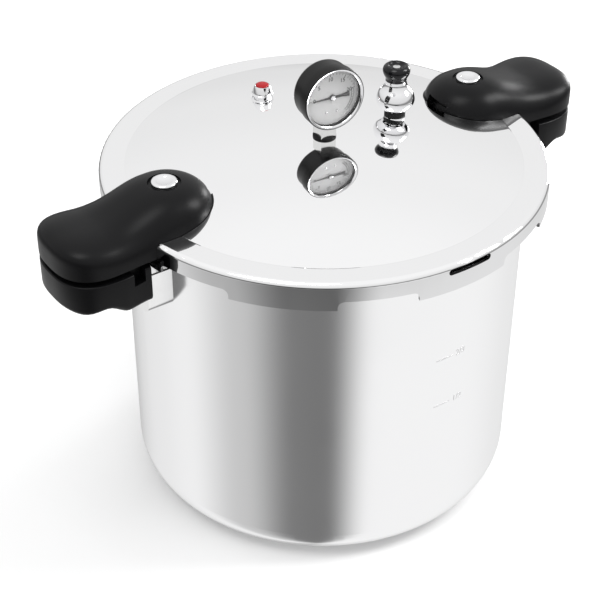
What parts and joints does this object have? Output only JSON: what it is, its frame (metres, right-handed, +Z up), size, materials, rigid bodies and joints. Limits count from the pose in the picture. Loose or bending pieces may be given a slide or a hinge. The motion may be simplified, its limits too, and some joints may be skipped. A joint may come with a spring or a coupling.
{
  "type": "pressure canner",
  "caption": "Deep aluminium pressure canner: pot with side handles, domed bayonet lid that locks by turning, dial gauge, weight on a vent pipe, and air vent with a red float button.",
  "frame": {"origin": "centre of the pot's underside", "axes": "+X towards the right-hand handles, +Y away from the dial's face, +Z up along the pot's axis"},
  "size_m": [0.474, 0.346, 0.3601],
  "materials": {
    "polished_pot": "drawn and polished aluminium, faint vertical polish marks",
    "rack_aluminium": "plain rolled sheet, stamped",
    "polished_lid": "mirror-polished aluminium",
    "black_rubber": "matt moulded rubber",
    "plated_fitting": "nickel-plated brass",
    "bright_chrome": "bright chrome plate",
    "gloss_black": "glossy moulded plastic",
    "steel_fastener": "turned steel",
    "red_button": "moulded red plastic",
    "gauge_black": "black enamel",
    "gauge_glass": "clear lens",
    "dial_white": "white printed plate",
    "movement_brass": "stamped brass",
    "pointer_black": "black paint",
    "satin_black_handle": "satin moulded phenolic",
    "bracket_steel": "bright rolled steel"
  },
  "bodies": {
    "pot": {"pot_shell": "polished_pot", "pot_handle_left": "satin_black_handle", "handle_bracket_left": "bracket_steel", "bracket_rivets_left": "steel_fastener", "pot_handle_screws_left": "steel_fastener", "pot_handle_right": "satin_black_handle", "handle_bracket_right": "bracket_steel", "bracket_rivets_right": "steel_fastener", "pot_handle_screws_right": "steel_fastener"},
    "rack": {"canning_rack": "rack_aluminium"},
    "lid": {"lid_shell": "polished_lid", "sealing_gasket": "black_rubber", "vent_pipe": "plated_fitting", "vent_pipe_nut": "plated_fitting", "vent_pipe_washer": "black_rubber", "air_vent_housing": "bright_chrome", "air_vent_seal": "black_rubber", "air_vent_nut": "plated_fitting", "gauge_case": "gauge_black", "gauge_bezel": "bright_chrome", "gauge_lens": "gauge_glass", "gauge_lens_gasket": "black_rubber", "gauge_dial": "dial_white", "gauge_socket": "plated_fitting", "gauge_washer": "black_rubber", "gauge_nut": "plated_fitting", "bourdon_tube": "movement_brass", "bourdon_tip": "movement_brass", "movement_rear_plate": "movement_brass", "movement_front_plate": "movement_brass", "movement_pillars": "movement_brass", "hairspring": "steel_fastener", "lid_handle_left": "satin_black_handle", "lid_handle_stud_left": "steel_fastener", "lid_cap_screw_left": "bright_chrome", "lid_handle_right": "satin_black_handle", "lid_handle_stud_right": "steel_fastener", "lid_cap_screw_right": "bright_chrome"},
    "regulator": {"regulator_weight": "bright_chrome", "regulator_knob": "gloss_black", "regulator_knob_screw": "steel_fastener"},
    "float_valve": {"float_pin": "steel_fastener", "float_pin_clip": "steel_fastener", "float_button": "red_button"},
    "sector": {"sector_gear": "movement_brass"},
    "pointer": {"gauge_pointer": "pointer_black", "pointer_arbor": "steel_fastener"}
  },
  "joints": [
    {"name": "rack_lift", "type": "slide", "parent": "pot", "child": "rack", "axis": [0, 0, 1], "range_m": [0, 0.2]},
    {"name": "lid_turn", "type": "hinge", "parent": "pot", "child": "lid", "pos_m": [0, 0, 0.28], "axis": [0, 0, 1], "range_deg": [0, 22.5]},
    {"name": "regulator_lift", "type": "slide", "parent": "lid", "child": "regulator", "axis": [0, 0, 1], "range_m": [0, 0.04]},
    {"name": "float_lift", "type": "slide", "parent": "lid", "child": "float_valve", "axis": [0, 0, 1], "range_m": [0, 0.004]},
    {"name": "sector_turn", "type": "hinge", "parent": "lid", "child": "sector", "pos_m": [0, 0, 0.32308], "axis": [-0.1045, -0.9945, 0], "range_deg": [0, 40]},
    {"name": "pointer_turn", "type": "hinge", "parent": "lid", "child": "pointer", "pos_m": [0, 0, 0.33508], "axis": [0.1045, 0.9945, 0], "range_deg": [0, 200]}
  ],
  "couplings": [
    {"joint": "pointer_turn", "follows": "sector_turn", "ratio": 5}
  ]
}
